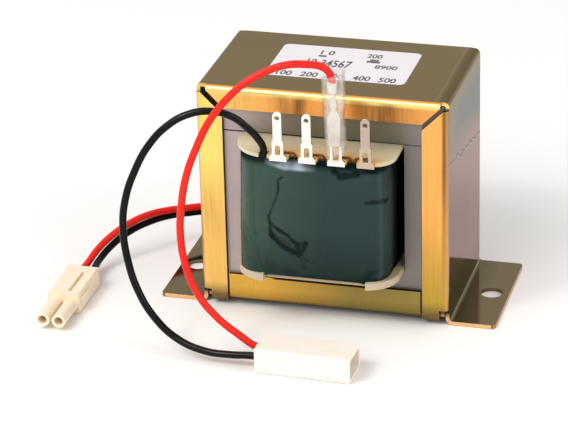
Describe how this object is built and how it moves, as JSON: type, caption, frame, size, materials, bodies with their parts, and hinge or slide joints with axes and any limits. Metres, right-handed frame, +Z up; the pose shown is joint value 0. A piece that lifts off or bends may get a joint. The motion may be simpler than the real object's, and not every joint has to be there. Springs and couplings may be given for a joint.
{
  "type": "speaker line transformer",
  "caption": "Iron-core audio line transformer in a folded steel bracket with mounting feet, a taped coil with solder lugs, and paired leads that end in plug and socket housings.",
  "frame": {"origin": "midway between the two foot holes, on the underside of the feet", "axes": "+X along the line through the foot holes, -Y towards the solder lugs, +Z up through the core"},
  "size_m": [0.1392, 0.116, 0.0914],
  "materials": {
    "plated_steel": "yellow chromate over zinc, satin",
    "lamination_steel": "rolled lamination edges, matt grey",
    "bobbin_nylon": "moulded, cream",
    "enamelled_copper": "enamelled wire",
    "layer_paper": "plain",
    "green_tape": "glossy film tape",
    "tinned_brass": "bright tin plate",
    "clear_vinyl": "clear soft tube",
    "label_paper": "coated white",
    "black_vinyl": "extruded, semi-gloss",
    "red_vinyl": "extruded, semi-gloss",
    "connector_nylon": "moulded, natural white",
    "contact_brass": "plain"
  },
  "bodies": {
    "root": {"bracket": "plated_steel", "base_channel": "plated_steel", "e_core": "lamination_steel", "i_core": "lamination_steel", "bobbin": "bobbin_nylon", "primary_winding": "enamelled_copper", "layer_insulation": "layer_paper", "secondary_winding": "enamelled_copper", "outer_wrap": "green_tape", "lug_1": "tinned_brass", "lug_2": "tinned_brass", "lug_3": "tinned_brass", "lug_4": "tinned_brass", "tap_1": "enamelled_copper", "tap_2": "enamelled_copper", "tap_3": "enamelled_copper", "tap_4": "enamelled_copper", "quick_connect": "tinned_brass", "clear_sleeve": "clear_vinyl", "top_label": "label_paper", "black_front_lead": "black_vinyl", "red_front_lead": "red_vinyl", "black_rear_lead": "black_vinyl", "red_rear_lead": "red_vinyl", "socket_housing": "connector_nylon", "socket_contact_1": "contact_brass", "socket_contact_2": "contact_brass", "plug_housing": "connector_nylon", "plug_contact_1": "contact_brass", "plug_contact_2": "contact_brass"}
  },
  "joints": []
}
